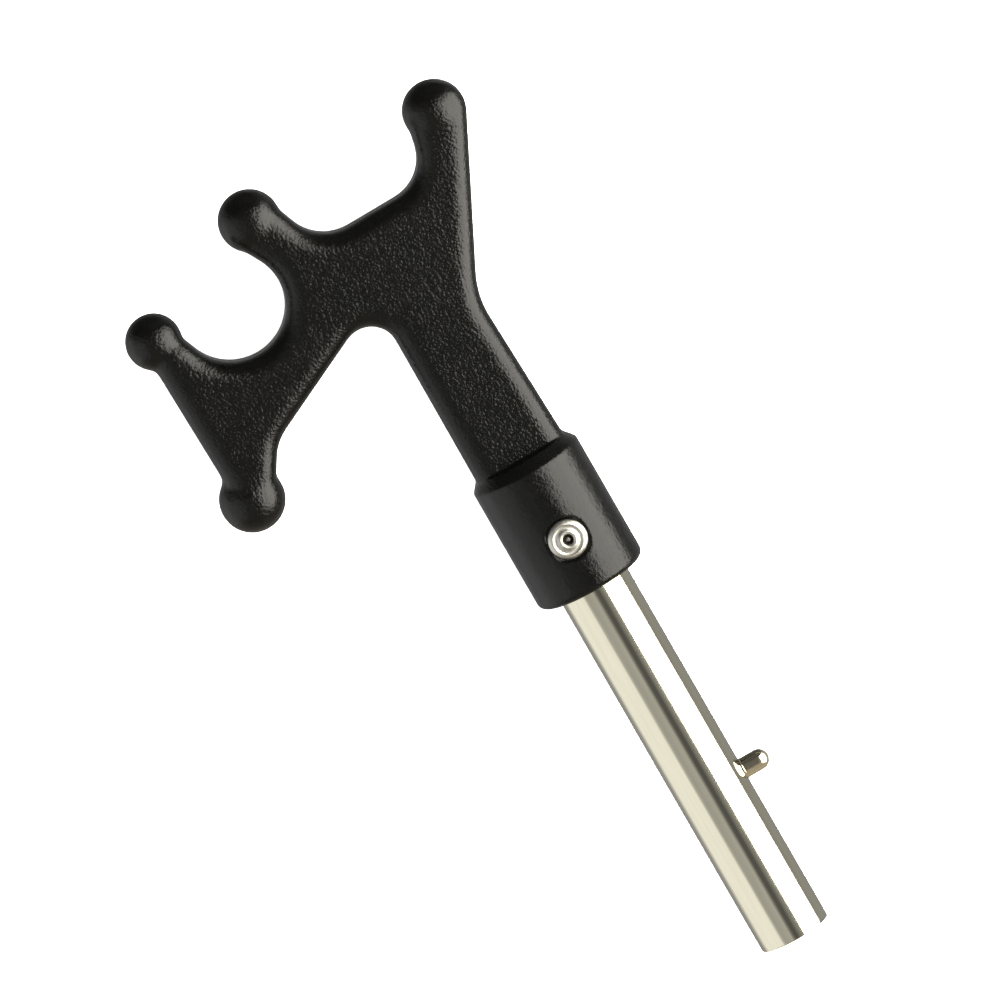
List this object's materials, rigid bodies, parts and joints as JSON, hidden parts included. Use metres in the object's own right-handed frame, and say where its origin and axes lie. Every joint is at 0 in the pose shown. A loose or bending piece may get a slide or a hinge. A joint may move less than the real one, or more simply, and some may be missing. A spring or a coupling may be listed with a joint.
{
  "type": "boat hook head",
  "caption": "Moulded boat hook with ball-ended prongs on a metal spigot tube, with a sprung button that locks it in a pole.",
  "frame": {"origin": "centre of the tube's free end, on the tube's axis", "axes": "+X leaves the tube's free end along its axis, towards the pole; +Y is the lock button's side; +Z is square to the flat hook"},
  "size_m": [0.2777, 0.1239, 0.0354],
  "materials": {
    "moulding": "black moulded polymer with a pebbled texture",
    "tube": "polished stainless steel",
    "rivet": "bright, as set",
    "mandrel": "plain steel with a broken end",
    "button": "turned and plated",
    "spring": "rolled spring strip"
  },
  "bodies": {
    "root": {"hook_head": "moulding", "shaft_tube": "tube", "front_rivet": "rivet", "front_rivet_mandrel": "mandrel", "back_rivet": "rivet", "back_rivet_mandrel": "mandrel", "button_spring": "spring"},
    "button": {"lock_button": "button"}
  },
  "joints": [
    {"name": "button_press", "type": "slide", "parent": "root", "child": "button", "axis": [0, -1, 0], "range_m": [0, 0.0084], "stiffness_N_per_m": 1200, "springref_m": -0.0025, "deforming": ["button_spring"]}
  ]
}
